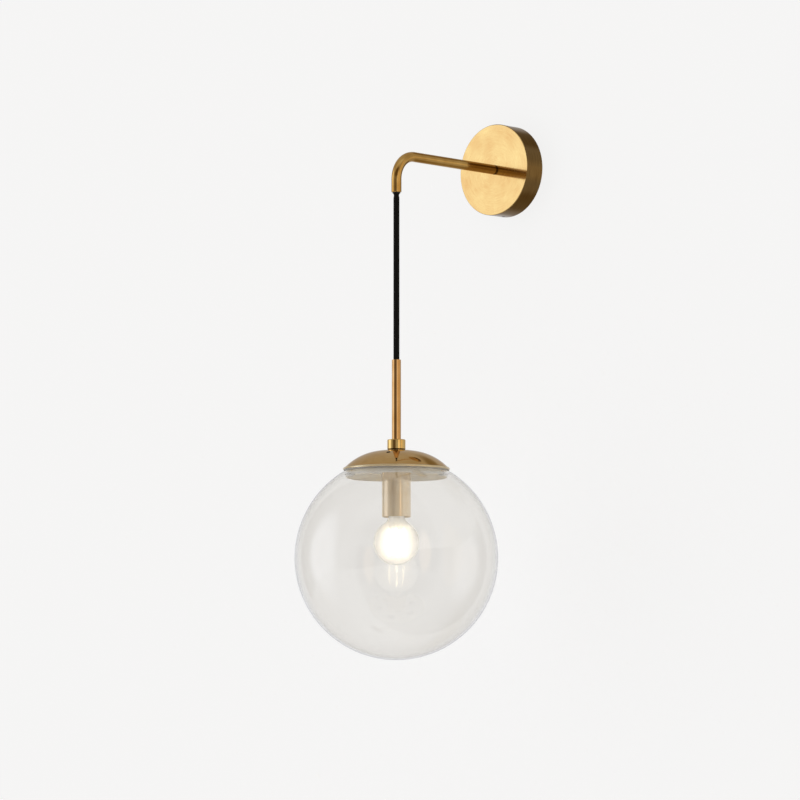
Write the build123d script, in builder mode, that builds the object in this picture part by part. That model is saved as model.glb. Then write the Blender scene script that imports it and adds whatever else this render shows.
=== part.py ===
"""Globe wall sconce: a brass wall plate with a bent arm, from which a clear glass globe
hangs on a textile cord.

Frame: origin in the middle of the wall bracket's back face, wall plane y = 0, the sconce
faces -Y, +X is to the right seen from the front, +Z is up. Millimetres.
"depth" is a distance out from the wall, so a point at depth d has y = -d.
"""
from build123d import *
import math
import os

os.makedirs("parts", exist_ok=True)

# ---------------------------------------------------------------- driving dimensions
# wall plate, a drawn brass cup
plate_diameter = 93.0
plate_depth = 22.5
plate_wall = 1.2
plate_edge_radius = 0.7
backing_diameter = 26.0
backing_thickness = 2.0

# arm, a bent brass tube brazed into the plate
arm_diameter = 10.0
arm_wall = 1.0
arm_reach = 142.0
arm_drop = 38.0
arm_bend_radius = 25.0
arm_tail = 4.5
arm_edge_chamfer = 0.3

# black bush in the arm's mouth
bush_length = 9.0
bush_lip_length = 1.2
bush_lip_wall = 0.45

# textile cord and its two cores
cord_diameter = 6.0
cord_free_length = 167.0
core_diameter = 2.2
core_spread = 1.3
core_bend_radius = 2.0
cord_strip_length = 5.0

# cord grip on the arm's tail
grip_diameter = 16.0
grip_length = 6.5
grip_overlap = 2.5
grip_screw_diameter = 3.0

# wall bracket, a steel strap with bent ends
bracket_width = 20.0
bracket_thickness = 1.5
bracket_boss_diameter = 34.0
bracket_tab_depth = 12.0
bracket_end_gap = 0.4
slot_spacing = 60.0
slot_length = 12.0
slot_width = 4.5
cable_entry_diameter = 13.0
plate_screw_diameter = 3.0
plate_screw_length = 6.0
plate_screw_depth = 8.0
plate_screw_sink = 0.7
screw_socket_diameter = 1.5

# terminal block on the bracket's wing
block_start = 14.0
block_length = 22.0
block_height = 25.0
block_thickness = 10.5
block_pitch = 8.0
terminal_hole_diameter = 3.0
terminal_hole_depth = 8.0
terminal_screw_diameter = 3.0
terminal_screw_length = 3.5
wire_depth = 5.5
block_screw_diameter = 2.5
block_screw_head_diameter = 4.4
block_screw_head_height = 1.6

# earth screw on the bracket
earth_screw_diameter = 4.0
earth_head_diameter = 7.0
earth_head_height = 2.4
earth_screw_height = 18.5

# stem and collar above the cap
stem_diameter = 9.0
stem_wall = 0.75
stem_length = 79.0
stem_seat = 5.0
stem_bush_length = 8.0
collar_diameter = 18.0
collar_height = 10.0
collar_edge_radius = 0.8
collar_screw_diameter = 3.0
collar_screw_sink = 0.85

# threaded tube that holds the hanging part together
nipple_diameter = 10.0
nipple_bore = 6.8

# cap, a spun brass dome
cap_overhang = 2.0
cap_height = 20.0
cap_thickness = 1.0
cap_band_height = 1.2
cap_crown_radius = 130.0
cap_crown_spread = 20.0
cap_vent_diameter = 4.0
cap_vent_count = 3
cap_vent_first_angle = 60.0
spacer_diameter = 14.0

# gallery, the shallow brass cup that centres the glass
gallery_diameter = 100.0
gallery_wall = 0.8
gallery_disc_thickness = 1.0
gallery_rise = 1.4
gallery_skirt = 7.0
gallery_edge_radius = 0.8
vent_diameter = 12.0
vent_circle_diameter = 64.0
vent_count = 6

# spring clips that hold the glass from inside
clip_count = 3
clip_first_angle = 15.0
clip_width = 6.0
clip_thickness = 0.5
clip_foot = 5.3
rivet_diameter = 2.0
rivet_head_diameter = 3.4
rivet_head_height = 0.6

# glass globe
globe_diameter = 200.0
globe_wall = 2.6
globe_mouth_play = 0.4
globe_lip_radius = 0.6
gasket_thickness = 0.8

# cup over the lamp holder
cup_play = 0.45
cup_skirt = 3.4
cup_wall = 0.8
cup_edge_radius = 1.5
washer_diameter = 18.0
washer_thickness = 0.6
nut_across_flats = 14.0
nut_height = 3.0

# lamp holder for a 14 mm Edison cap
holder_diameter = 26.0
holder_cap_height = 12.7
holder_cap_roof = 8.0
holder_lip = 1.1
holder_deck = 2.2
holder_mouth_diameter = 20.0
shell_wall = 0.6
contact_leaf_diameter = 9.0
contact_leaf_thickness = 0.4
contact_gap = 0.3
contact_rivet_diameter = 2.0
holder_screw_spacing = 16.6
holder_screw_diameter = 3.0
holder_screw_head_diameter = 4.2
holder_screw_head_height = 3.0
holder_screw_room = 0.6

# golf-ball filament bulb
bulb_diameter = 45.0
bulb_glass = 0.8
bulb_neck_diameter = 15.8
bulb_neck_length = 2.7
bulb_neck_fillet = 10.0
bulb_contact_diameter = 6.8
bulb_contact_height = 2.2
insulator_height = 3.0
insulator_sink = 0.7
insulator_top_diameter = 9.0
bulb_cap_diameter = 13.1
bulb_cap_height = 17.5
bulb_cap_wall = 0.45
bulb_cap_flare = 4.0
bulb_cap_flare_diameter = 17.2
thread_pitch = 2.82
thread_rings = 5
thread_ring_radius = 0.6
mount_diameter = 6.0
mount_flange_thickness = 1.0
filament_count = 4
filament_length = 26.0
filament_diameter = 1.8
filament_circle_diameter = 14.0
filament_first_angle = 45.0
filament_wire_diameter = 0.8

# clearances
fit_gap = 0.05
loose_gap = 0.2
moving_gap = 0.3

# ---------------------------------------------------------------- heights and places
plate_radius = plate_diameter / 2
plate_inner_radius = plate_radius - plate_wall
arm_radius = arm_diameter / 2
arm_bore_radius = arm_radius - arm_wall
cord_radius = cord_diameter / 2
core_radius = core_diameter / 2
gallery_radius = gallery_diameter / 2
mouth_radius = gallery_radius + globe_mouth_play
cap_radius = gallery_radius + cap_overhang
globe_radius = globe_diameter / 2

hang_y = -(plate_depth + arm_reach)
backing_depth = plate_depth - plate_wall - backing_thickness
tail_depth = backing_depth - arm_tail
pivot_z = -arm_drop - bush_lip_length
stem_top_z = -arm_drop - cord_free_length
collar_top_z = stem_top_z - stem_length
cap_top_z = collar_top_z - collar_height
rim_z = cap_top_z - cap_height
gallery_top_z = rim_z + gallery_rise
cup_top_z = gallery_top_z - gallery_disc_thickness
washer_z = cup_top_z - cup_wall - washer_thickness
holder_top_z = washer_z - nut_height - moving_gap
holder_body_z = holder_top_z - holder_cap_height
holder_roof_z = holder_top_z - holder_cap_roof
nipple_top_z = collar_top_z - stem_seat - loose_gap
nipple_end_z = holder_roof_z + loose_gap
deck_z = holder_body_z - holder_deck
bulb_top_z = deck_z - contact_leaf_thickness - contact_gap
contact_foot_z = bulb_top_z - bulb_contact_height
insulator_top_z = contact_foot_z + insulator_sink
insulator_foot_z = insulator_top_z - insulator_height
bulb_cap_foot_z = insulator_foot_z - bulb_cap_height
flare_z = bulb_cap_foot_z + bulb_cap_flare
neck_top_z = bulb_cap_foot_z + moving_gap
holder_foot_z = bulb_cap_foot_z - holder_lip
cup_foot_z = holder_foot_z - cup_skirt
rim_inner_radius = cap_radius - cap_thickness
globe_centre_z = rim_z - gasket_thickness - math.sqrt(globe_radius**2 - rim_inner_radius**2)

hang = Plane(origin=(0, hang_y, 0), x_dir=(1, 0, 0), z_dir=(0, -1, 0))
hang_axis = Axis((0, hang_y, 0), (0, 0, 1))


def wall_plane(depth):
    """The plane at that depth, facing away from the wall, with local x = X and y = Z."""
    return Plane(origin=(0, -depth, 0), x_dir=(1, 0, 0), z_dir=(0, -1, 0))


def level(z):
    """The horizontal plane at height z, centred on the hanging axis."""
    return Plane(origin=(0, hang_y, z))


def radial(angle):
    """The upright half plane at that angle round the hanging axis, local x outwards."""
    turn = math.radians(angle)
    return Plane(
        origin=(0, hang_y, 0),
        x_dir=(math.cos(turn), math.sin(turn), 0),
        z_dir=(math.sin(turn), -math.cos(turn), 0),
    )


def spoke_plane(angle, z):
    """The upright plane through the hanging axis whose normal points out at that angle."""
    turn = math.radians(angle)
    return Plane(origin=(0, hang_y, z), z_dir=(math.cos(turn), math.sin(turn), 0))


def save(piece, name):
    """Names a finished piece and writes it to its own file."""
    piece.part.label = name
    export_step(piece.part, f"parts/{name}.step")


def tube(plane, outer_radius, inner_radius, length):
    """A round tube that runs from the plane along its normal."""
    with BuildPart() as piece:
        with BuildSketch(plane):
            Circle(outer_radius)
            Circle(inner_radius, mode=Mode.SUBTRACT)
        extrude(amount=length)
    return piece


def turned(points):
    """A piece turned round the hanging axis from its outline in (radius, z)."""
    with BuildPart() as piece:
        with BuildSketch(hang):
            with BuildLine():
                Polyline(*points, close=True)
            make_face()
        revolve(axis=hang_axis)
    return piece


def wire(points, radius, bend):
    """A round wire along straight runs joined by arcs."""
    with BuildPart() as piece:
        with BuildLine() as route:
            FilletPolyline(*points, radius=bend)
        with BuildSketch(Plane(origin=route.line @ 0, z_dir=route.line % 0)):
            Circle(radius)
        sweep(path=route.line)
    return piece


# ---------------------------------------------------------------- wall plate and arm
with BuildPart() as wall_plate:
    with BuildSketch(wall_plane(0)):
        Circle(plate_radius)
    extrude(amount=plate_depth)
    fillet(wall_plate.edges().sort_by(Axis.Y)[0], radius=plate_edge_radius)
    with BuildSketch(wall_plane(0)):
        Circle(plate_inner_radius)
    extrude(amount=plate_depth - plate_wall, mode=Mode.SUBTRACT)
    with BuildSketch(wall_plane(0)):
        Circle(arm_radius + fit_gap)
    extrude(amount=plate_depth, mode=Mode.SUBTRACT)
    with BuildSketch(Plane(origin=(0, -plate_screw_depth, 0))):
        Circle(plate_screw_diameter / 2 + fit_gap)
    extrude(amount=plate_radius, both=True, mode=Mode.SUBTRACT)
save(wall_plate, "wall_plate")

backing_disc = tube(
    wall_plane(backing_depth), backing_diameter / 2, arm_radius + fit_gap, backing_thickness
)
save(backing_disc, "backing_disc")

with BuildPart() as arm_tube:
    with BuildLine() as arm_line:
        FilletPolyline(
            (0, -tail_depth, 0), (0, hang_y, 0), (0, hang_y, -arm_drop), radius=arm_bend_radius
        )
    with BuildSketch(wall_plane(tail_depth)):
        Circle(arm_radius)
        Circle(arm_bore_radius, mode=Mode.SUBTRACT)
    sweep(path=arm_line.line)
    mouth_edges = arm_tube.edges().group_by(Axis.Z)[0]
    chamfer(mouth_edges.sort_by(SortBy.RADIUS)[-1], length=arm_edge_chamfer)
save(arm_tube, "arm_tube")

bush_bore_radius = cord_radius + moving_gap + fit_gap
bush_radius = arm_bore_radius - fit_gap
arm_bush = turned(
    [
        (bush_bore_radius, -arm_drop + bush_length),
        (bush_radius, -arm_drop + bush_length),
        (bush_radius, -arm_drop),
        (bush_bore_radius + bush_lip_wall, -arm_drop),
        (bush_bore_radius + bush_lip_wall, pivot_z),
        (bush_bore_radius + loose_gap, pivot_z),
        (bush_bore_radius, pivot_z + bush_lip_length / 2),
    ]
)
save(arm_bush, "arm_bush")

# ---------------------------------------------------------------- cord
grip_depth = tail_depth + grip_overlap - grip_length
cord_end_depth = grip_depth - loose_gap
bend_radius = cord_radius
cord_start_z = pivot_z - bend_radius - moving_gap

cord_in_arm = wire(
    [
        (0, -cord_end_depth, 0),
        (0, hang_y, 0),
        (0, hang_y, pivot_z + bend_radius + moving_gap),
    ],
    cord_radius,
    arm_bend_radius,
)
save(cord_in_arm, "cord_in_arm")

with BuildPart() as cord_bend:
    with BuildSketch(hang):
        with Locations((0, pivot_z)):
            Circle(bend_radius)
            with Locations((-bend_radius, 0)):
                Rectangle(2 * bend_radius, 2 * bend_radius, mode=Mode.SUBTRACT)
    revolve(axis=hang_axis)
save(cord_bend, "cord_bend")

with BuildPart() as cord:
    with BuildSketch(level(stem_top_z)):
        Circle(cord_radius)
    extrude(amount=cord_start_z - stem_top_z)
save(cord, "cord")

# ---------------------------------------------------------------- cord grip
with BuildPart() as cord_grip:
    with BuildSketch(wall_plane(grip_depth)):
        Circle(grip_diameter / 2)
        Circle(cord_radius + loose_gap, mode=Mode.SUBTRACT)
    extrude(amount=grip_length)
    with BuildSketch(wall_plane(tail_depth)):
        Circle(arm_radius + fit_gap)
    extrude(amount=grip_overlap, mode=Mode.SUBTRACT)
    grip_screw_depth = (grip_depth + tail_depth) / 2
    with BuildSketch(Plane(origin=(0, -grip_screw_depth, 0), z_dir=(-1, 0, 0))):
        Circle(grip_screw_diameter / 2 + fit_gap)
    extrude(amount=grip_diameter / 2, mode=Mode.SUBTRACT)
save(cord_grip, "cord_grip")

with BuildPart() as grip_screw:
    grip_screw_tip = cord_radius + fit_gap
    with BuildSketch(Plane(origin=(-grip_screw_tip, -grip_screw_depth, 0), z_dir=(-1, 0, 0))):
        Circle(grip_screw_diameter / 2)
    extrude(amount=grip_diameter / 2 - grip_screw_tip)
    with BuildSketch(Plane(origin=(-grip_diameter / 2, -grip_screw_depth, 0), z_dir=(1, 0, 0))):
        RegularPolygon(screw_socket_diameter / 2, 6)
    extrude(amount=screw_socket_diameter, mode=Mode.SUBTRACT)
save(grip_screw, "grip_screw")

# ---------------------------------------------------------------- wall bracket
bracket_half = (
    math.sqrt(plate_inner_radius**2 - (bracket_width / 2) ** 2) - bracket_end_gap
)
wing_end = block_start + block_length
way_heights = [block_pitch, 0.0, -block_pitch]
earth_place = (0.0, earth_screw_height)

with BuildPart() as wall_bracket:
    with BuildSketch(wall_plane(0)):
        Rectangle(bracket_width, 2 * bracket_half)
        Circle(bracket_boss_diameter / 2)
        with Locations((wing_end / 2, 0)):
            Rectangle(wing_end, block_height)
        Circle(cable_entry_diameter / 2, mode=Mode.SUBTRACT)
        with GridLocations(0, slot_spacing, 1, 2):
            SlotOverall(slot_length, slot_width, rotation=90, mode=Mode.SUBTRACT)
        with Locations(earth_place):
            Circle(earth_screw_diameter / 2 + fit_gap, mode=Mode.SUBTRACT)
        with Locations((block_start + block_length / 2, 0)):
            with GridLocations(0, block_pitch, 1, 2):
                Circle(block_screw_diameter / 2 + fit_gap, mode=Mode.SUBTRACT)
    extrude(amount=bracket_thickness)
    with BuildSketch(wall_plane(0)):
        with GridLocations(0, 2 * bracket_half - bracket_thickness, 1, 2):
            Rectangle(bracket_width, bracket_thickness)
    extrude(amount=bracket_tab_depth)
    with BuildSketch(Plane(origin=(0, -plate_screw_depth, 0))):
        Circle(plate_screw_diameter / 2 + fit_gap)
    extrude(amount=bracket_half, both=True, mode=Mode.SUBTRACT)
save(wall_bracket, "wall_bracket")

with BuildPart() as plate_screws:
    screw_end = plate_radius - plate_screw_sink
    for side in (1, -1):
        seat = Plane(origin=(0, -plate_screw_depth, side * screw_end), z_dir=(0, 0, -side))
        with BuildSketch(seat):
            Circle(plate_screw_diameter / 2)
        extrude(amount=plate_screw_length)
        with BuildSketch(seat):
            RegularPolygon(screw_socket_diameter / 2, 6)
        extrude(amount=screw_socket_diameter, mode=Mode.SUBTRACT)
save(plate_screws, "plate_screws")

# ---------------------------------------------------------------- terminal block
block_front = bracket_thickness + block_thickness
screw_columns = (
    block_start + terminal_hole_depth / 2,
    wing_end - terminal_hole_depth / 2,
)
block_middle = block_start + block_length / 2

with BuildPart() as terminal_block:
    with BuildSketch(wall_plane(bracket_thickness)):
        with Locations((block_middle, 0)):
            Rectangle(block_length, block_height)
    extrude(amount=block_thickness)
    for way in way_heights:
        for start, heading in ((block_start, 1), (wing_end, -1)):
            with BuildSketch(Plane(origin=(start, -wire_depth, way), z_dir=(heading, 0, 0))):
                Circle(terminal_hole_diameter / 2)
            extrude(amount=terminal_hole_depth, mode=Mode.SUBTRACT)
    with BuildSketch(wall_plane(wire_depth)):
        for column in screw_columns:
            with Locations(*[(column, way) for way in way_heights]):
                Circle(terminal_screw_diameter / 2 + fit_gap)
    extrude(amount=block_front - wire_depth, mode=Mode.SUBTRACT)
    with BuildSketch(wall_plane(bracket_thickness)):
        with Locations((block_middle, 0)):
            with GridLocations(0, block_pitch, 1, 2):
                Circle(block_screw_diameter / 2 + fit_gap)
    extrude(amount=block_thickness, mode=Mode.SUBTRACT)
save(terminal_block, "terminal_block")

with BuildPart() as terminal_screws:
    screw_foot = wire_depth + terminal_hole_diameter / 2 + fit_gap
    with BuildSketch(wall_plane(screw_foot)):
        for column in screw_columns:
            with Locations(*[(column, way) for way in way_heights]):
                Circle(terminal_screw_diameter / 2)
    extrude(amount=terminal_screw_length)
save(terminal_screws, "terminal_screws")

with BuildPart() as block_screws:
    with BuildSketch(wall_plane(0)):
        with Locations((block_middle, 0)):
            with GridLocations(0, block_pitch, 1, 2):
                Circle(block_screw_diameter / 2)
    extrude(amount=block_front)
    with BuildSketch(wall_plane(block_front)):
        with Locations((block_middle, 0)):
            with GridLocations(0, block_pitch, 1, 2):
                Circle(block_screw_head_diameter / 2)
    extrude(amount=block_screw_head_height)
save(block_screws, "block_screws")

# ---------------------------------------------------------------- wires in the plate
wire_end = block_start + terminal_hole_depth - loose_gap
core_turn_x = grip_diameter / 2 + loose_gap
live_way, neutral_way = way_heights[1], way_heights[2]
earth_way = way_heights[0]

live_wire = wire(
    [
        (0, -cord_end_depth, core_spread),
        (0, -wire_depth, core_spread),
        (core_turn_x, -wire_depth, live_way),
        (wire_end, -wire_depth, live_way),
    ],
    core_radius,
    core_bend_radius,
)
save(live_wire, "live_wire")

neutral_wire = wire(
    [
        (0, -cord_end_depth, -core_spread),
        (0, -wire_depth, -core_spread),
        (core_turn_x, -wire_depth, neutral_way),
        (wire_end, -wire_depth, neutral_way),
    ],
    core_radius,
    core_bend_radius,
)
save(neutral_wire, "neutral_wire")

earth_wire_depth = bracket_thickness + core_radius + fit_gap
earth_wire_x = earth_screw_diameter / 2 + core_radius + loose_gap
earth_wire = wire(
    [
        (wire_end, -wire_depth, earth_way),
        (block_start - core_bend_radius, -wire_depth, earth_way),
        (earth_wire_x, -earth_wire_depth, earth_screw_height - earth_head_diameter / 2),
        (earth_wire_x, -earth_wire_depth, earth_screw_height + earth_screw_diameter / 2),
    ],
    core_radius,
    core_bend_radius,
)
save(earth_wire, "earth_wire")

earth_head_depth = earth_wire_depth + core_radius + fit_gap
with BuildPart() as earth_screw:
    with BuildSketch(wall_plane(0)):
        with Locations(earth_place):
            Circle(earth_screw_diameter / 2)
    extrude(amount=earth_head_depth)
    with BuildSketch(wall_plane(earth_head_depth)):
        with Locations(earth_place):
            Circle(earth_head_diameter / 2)
    extrude(amount=earth_head_height)
    with BuildSketch(wall_plane(earth_head_depth + earth_head_height)):
        with Locations(earth_place):
            Rectangle(earth_head_diameter, screw_socket_diameter / 2)
    extrude(amount=-earth_head_height / 2, mode=Mode.SUBTRACT)
save(earth_screw, "earth_screw")

# ---------------------------------------------------------------- stem and collar
stem_radius = stem_diameter / 2
stem_bore_radius = stem_radius - stem_wall
stem_foot_z = collar_top_z - stem_seat
nipple_radius = nipple_diameter / 2
nipple_hole_radius = nipple_radius + fit_gap

stem_tube = tube(level(stem_foot_z), stem_radius, stem_bore_radius, stem_top_z - stem_foot_z)
save(stem_tube, "stem_tube")

stem_bush = tube(
    level(stem_top_z - stem_bush_length),
    stem_bore_radius - fit_gap,
    cord_radius + loose_gap,
    stem_bush_length,
)
save(stem_bush, "stem_bush")

cord_foot_z = nipple_end_z + cord_strip_length
with BuildPart() as cord_in_stem:
    with BuildSketch(level(cord_foot_z)):
        Circle(cord_radius)
    extrude(amount=stem_top_z - cord_foot_z)
save(cord_in_stem, "cord_in_stem")

collar_screw_z = collar_top_z - stem_seat / 2
with BuildPart() as collar:
    with BuildSketch(level(cap_top_z)):
        Circle(collar_diameter / 2)
    extrude(amount=collar_height)
    fillet(collar.edges(), radius=collar_edge_radius)
    with BuildSketch(level(stem_foot_z)):
        Circle(stem_radius + fit_gap)
    extrude(amount=stem_seat, mode=Mode.SUBTRACT)
    with BuildSketch(level(cap_top_z)):
        Circle(nipple_hole_radius)
    extrude(amount=collar_height - stem_seat, mode=Mode.SUBTRACT)
    with BuildSketch(spoke_plane(90, collar_screw_z)):
        Circle(collar_screw_diameter / 2 + fit_gap)
    extrude(amount=collar_diameter / 2, mode=Mode.SUBTRACT)
save(collar, "collar")

with BuildPart() as collar_screw:
    screw_tip = stem_radius + fit_gap
    screw_back = collar_diameter / 2 - collar_screw_sink
    with BuildSketch(spoke_plane(90, collar_screw_z).offset(screw_tip)):
        Circle(collar_screw_diameter / 2)
    extrude(amount=screw_back - screw_tip)
    with BuildSketch(spoke_plane(90, collar_screw_z).offset(screw_back)):
        RegularPolygon(screw_socket_diameter / 2, 6)
    extrude(amount=-screw_socket_diameter, mode=Mode.SUBTRACT)
save(collar_screw, "collar_screw")

nipple = tube(
    level(nipple_end_z), nipple_radius, nipple_bore / 2, nipple_top_z - nipple_end_z
)
save(nipple, "nipple")

# ---------------------------------------------------------------- cap
# The dome's section is two arcs that meet with one tangent: a flat crown, whose centre is
# on the axis, and a rounder shoulder that comes down to a short upright band.
crown_centre_z = cap_top_z - cap_crown_radius
crown_drop = cap_crown_radius - math.sqrt(cap_crown_radius**2 - cap_crown_spread**2)
crown_slope = math.asin(cap_crown_spread / cap_crown_radius)
shoulder_run = cap_radius - cap_crown_spread
shoulder_fall = cap_height - crown_drop - cap_band_height
shoulder_chord = math.hypot(shoulder_run, shoulder_fall)
shoulder_half_turn = math.atan2(shoulder_fall, shoulder_run) - crown_slope
shoulder_radius = shoulder_chord / (2 * math.sin(shoulder_half_turn))
shoulder_centre_x = cap_crown_spread - shoulder_radius * math.sin(crown_slope)
shoulder_centre_z = cap_top_z - crown_drop - shoulder_radius * math.cos(crown_slope)


def dome(inset, foot_z):
    """The solid dome, set in from the cap's outer face, down to foot_z."""
    crown = cap_crown_radius - inset
    shoulder = shoulder_radius - inset
    side = cap_radius - inset
    band_z = shoulder_centre_z + math.sqrt(shoulder**2 - (side - shoulder_centre_x) ** 2)
    join = (
        shoulder_centre_x + shoulder * math.sin(crown_slope),
        shoulder_centre_z + shoulder * math.cos(crown_slope),
    )
    with BuildPart() as piece:
        with BuildSketch(hang):
            with BuildLine():
                RadiusArc((0, crown_centre_z + crown), join, crown)
                RadiusArc(join, (side, band_z), shoulder)
                Polyline((side, band_z), (side, foot_z), (0, foot_z), (0, crown_centre_z + crown))
            make_face()
        revolve(axis=hang_axis)
    return piece


cap_outside = dome(0, rim_z)
cap_inside = dome(cap_thickness, rim_z)
with BuildPart() as cap_dome:
    add(cap_outside.part)
    add(cap_inside.part, mode=Mode.SUBTRACT)
    with BuildSketch(level(rim_z)):
        Circle(nipple_hole_radius)
        with PolarLocations(
            vent_circle_diameter / 2, cap_vent_count, start_angle=cap_vent_first_angle
        ):
            Circle(cap_vent_diameter / 2)
    extrude(amount=cap_height, mode=Mode.SUBTRACT)
save(cap_dome, "cap_dome")

# The spacer's top meets the crown's inner face along its outer edge.
spacer_radius = spacer_diameter / 2
crown_inner_radius = cap_crown_radius - cap_thickness - fit_gap
spacer_top_z = crown_centre_z + math.sqrt(crown_inner_radius**2 - spacer_radius**2)
cap_spacer = tube(
    level(gallery_top_z), spacer_radius, nipple_hole_radius, spacer_top_z - gallery_top_z
)
save(cap_spacer, "cap_spacer")

# ---------------------------------------------------------------- gallery and clips
gallery_inner_radius = gallery_radius - gallery_wall
gallery_foot_z = rim_z - gallery_skirt

with BuildPart() as gallery:
    with BuildSketch(level(gallery_foot_z)):
        Circle(gallery_radius)
    extrude(amount=gallery_top_z - gallery_foot_z)
    fillet(gallery.edges().sort_by(Axis.Z)[-1], radius=gallery_edge_radius)
    with BuildSketch(level(gallery_foot_z)):
        Circle(gallery_inner_radius)
    extrude(amount=cup_top_z - gallery_foot_z, mode=Mode.SUBTRACT)
    with BuildSketch(level(cup_top_z)):
        Circle(nipple_hole_radius)
        with PolarLocations(vent_circle_diameter / 2, vent_count):
            Circle(vent_diameter / 2)
    extrude(amount=gallery_disc_thickness, mode=Mode.SUBTRACT)

clip_angles = [clip_first_angle + 360 * step / clip_count for step in range(clip_count)]
clip_planes = [radial(angle) for angle in clip_angles]
clip_outer = math.sqrt(gallery_inner_radius**2 - (clip_width / 2) ** 2) - fit_gap
clip_inner = clip_outer - clip_thickness
clip_foot_z = gallery_foot_z - moving_gap - clip_thickness
clip_tip_x = clip_inner + clip_foot
clip_top_z = cup_top_z - loose_gap
glass_inner_radius = globe_radius - globe_wall
clip_tip_z = globe_centre_z + math.sqrt(glass_inner_radius**2 - clip_tip_x**2) - moving_gap
rivet_z = (gallery_foot_z + cup_top_z) / 2

with BuildPart() as globe_clips:
    with BuildSketch(*clip_planes):
        with Locations((clip_inner, clip_foot_z)):
            Rectangle(clip_thickness, clip_top_z - clip_foot_z, align=(Align.MIN, Align.MIN))
            Rectangle(clip_foot, clip_thickness, align=(Align.MIN, Align.MIN))
        with Locations((clip_tip_x, clip_foot_z)):
            Rectangle(clip_thickness, clip_tip_z - clip_foot_z, align=(Align.MAX, Align.MIN))
    extrude(amount=clip_width / 2, both=True)
    for angle in clip_angles:
        with BuildSketch(spoke_plane(angle, rivet_z).offset(clip_inner - clip_thickness)):
            Circle(rivet_diameter / 2 + fit_gap)
        extrude(amount=3 * clip_thickness, mode=Mode.SUBTRACT)
save(globe_clips, "globe_clips")

with gallery:
    for angle in clip_angles:
        with BuildSketch(spoke_plane(angle, rivet_z).offset(clip_outer)):
            Circle(rivet_diameter / 2 + fit_gap)
        extrude(amount=gallery_radius - clip_outer + gallery_wall, mode=Mode.SUBTRACT)
save(gallery, "gallery")

with BuildPart() as clip_rivets:
    rivet_start = clip_inner - rivet_head_height
    for angle in clip_angles:
        with BuildSketch(spoke_plane(angle, rivet_z).offset(rivet_start)):
            Circle(rivet_head_diameter / 2)
        extrude(amount=rivet_head_height)
        with BuildSketch(spoke_plane(angle, rivet_z).offset(clip_inner)):
            Circle(rivet_diameter / 2)
        extrude(amount=gallery_radius - clip_inner)
save(clip_rivets, "clip_rivets")

# ---------------------------------------------------------------- glass globe and gasket
with BuildPart() as glass_globe:
    with BuildSketch(hang):
        with Locations((0, globe_centre_z)):
            Circle(globe_radius)
            Circle(glass_inner_radius, mode=Mode.SUBTRACT)
            Rectangle(
                globe_diameter, globe_diameter, align=(Align.MAX, Align.CENTER), mode=Mode.SUBTRACT
            )
            Rectangle(
                mouth_radius,
                globe_diameter,
                align=(Align.MIN, Align.MIN),
                mode=Mode.SUBTRACT,
            )
    revolve(axis=hang_axis)
    mouth = glass_globe.edges().filter_by(
        lambda edge: edge.geom_type == GeomType.CIRCLE
        and math.isclose(edge.radius, mouth_radius, abs_tol=fit_gap)
    )
    fillet(mouth, radius=globe_lip_radius)
save(glass_globe, "glass_globe")

gasket_inner_radius = gallery_radius + fit_gap
with BuildPart() as rim_gasket:
    with BuildSketch(level(rim_z - 2 * gasket_thickness)):
        Circle(cap_radius - loose_gap)
        Circle(gasket_inner_radius, mode=Mode.SUBTRACT)
    extrude(amount=2 * gasket_thickness)
    with BuildSketch(hang):
        with Locations((0, globe_centre_z)):
            Circle(globe_radius + moving_gap)
            Rectangle(
                2 * globe_diameter,
                2 * globe_diameter,
                align=(Align.MAX, Align.CENTER),
                mode=Mode.SUBTRACT,
            )
    revolve(axis=hang_axis, mode=Mode.SUBTRACT)
save(rim_gasket, "rim_gasket")

# ---------------------------------------------------------------- cup, washer and nut
holder_radius = holder_diameter / 2
cup_inner_radius = holder_radius + cup_play
with BuildPart() as holder_cup:
    with BuildSketch(level(cup_foot_z)):
        Circle(cup_inner_radius + cup_wall)
    extrude(amount=cup_top_z - cup_foot_z)
    fillet(holder_cup.edges().sort_by(Axis.Z)[-1], radius=cup_edge_radius)
    with BuildSketch(level(cup_foot_z)):
        Circle(cup_inner_radius)
    extrude(amount=cup_top_z - cup_wall - cup_foot_z, mode=Mode.SUBTRACT)
    with BuildSketch(level(cup_top_z - cup_wall)):
        Circle(nipple_hole_radius)
    extrude(amount=cup_wall, mode=Mode.SUBTRACT)
save(holder_cup, "holder_cup")

lock_washer = tube(level(washer_z), washer_diameter / 2, nipple_hole_radius, washer_thickness)
save(lock_washer, "lock_washer")

with BuildPart() as lock_nut:
    with BuildSketch(level(washer_z - nut_height)):
        RegularPolygon(nut_across_flats / 2, 6, major_radius=False)
        Circle(nipple_hole_radius, mode=Mode.SUBTRACT)
    extrude(amount=nut_height)
save(lock_nut, "lock_nut")

# ---------------------------------------------------------------- lamp holder
holder_cavity_radius = (
    (holder_screw_spacing + holder_screw_head_diameter) / 2 + holder_screw_room
)
with BuildPart() as holder_cap:
    with BuildSketch(level(holder_body_z)):
        Circle(holder_radius)
    extrude(amount=holder_cap_height)
    with BuildSketch(level(holder_body_z)):
        Circle(nipple_hole_radius)
    extrude(amount=holder_cap_height, mode=Mode.SUBTRACT)
    with BuildSketch(level(holder_body_z)):
        Circle(holder_cavity_radius)
    extrude(amount=holder_roof_z - holder_body_z, mode=Mode.SUBTRACT)
save(holder_cap, "holder_cap")

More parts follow.
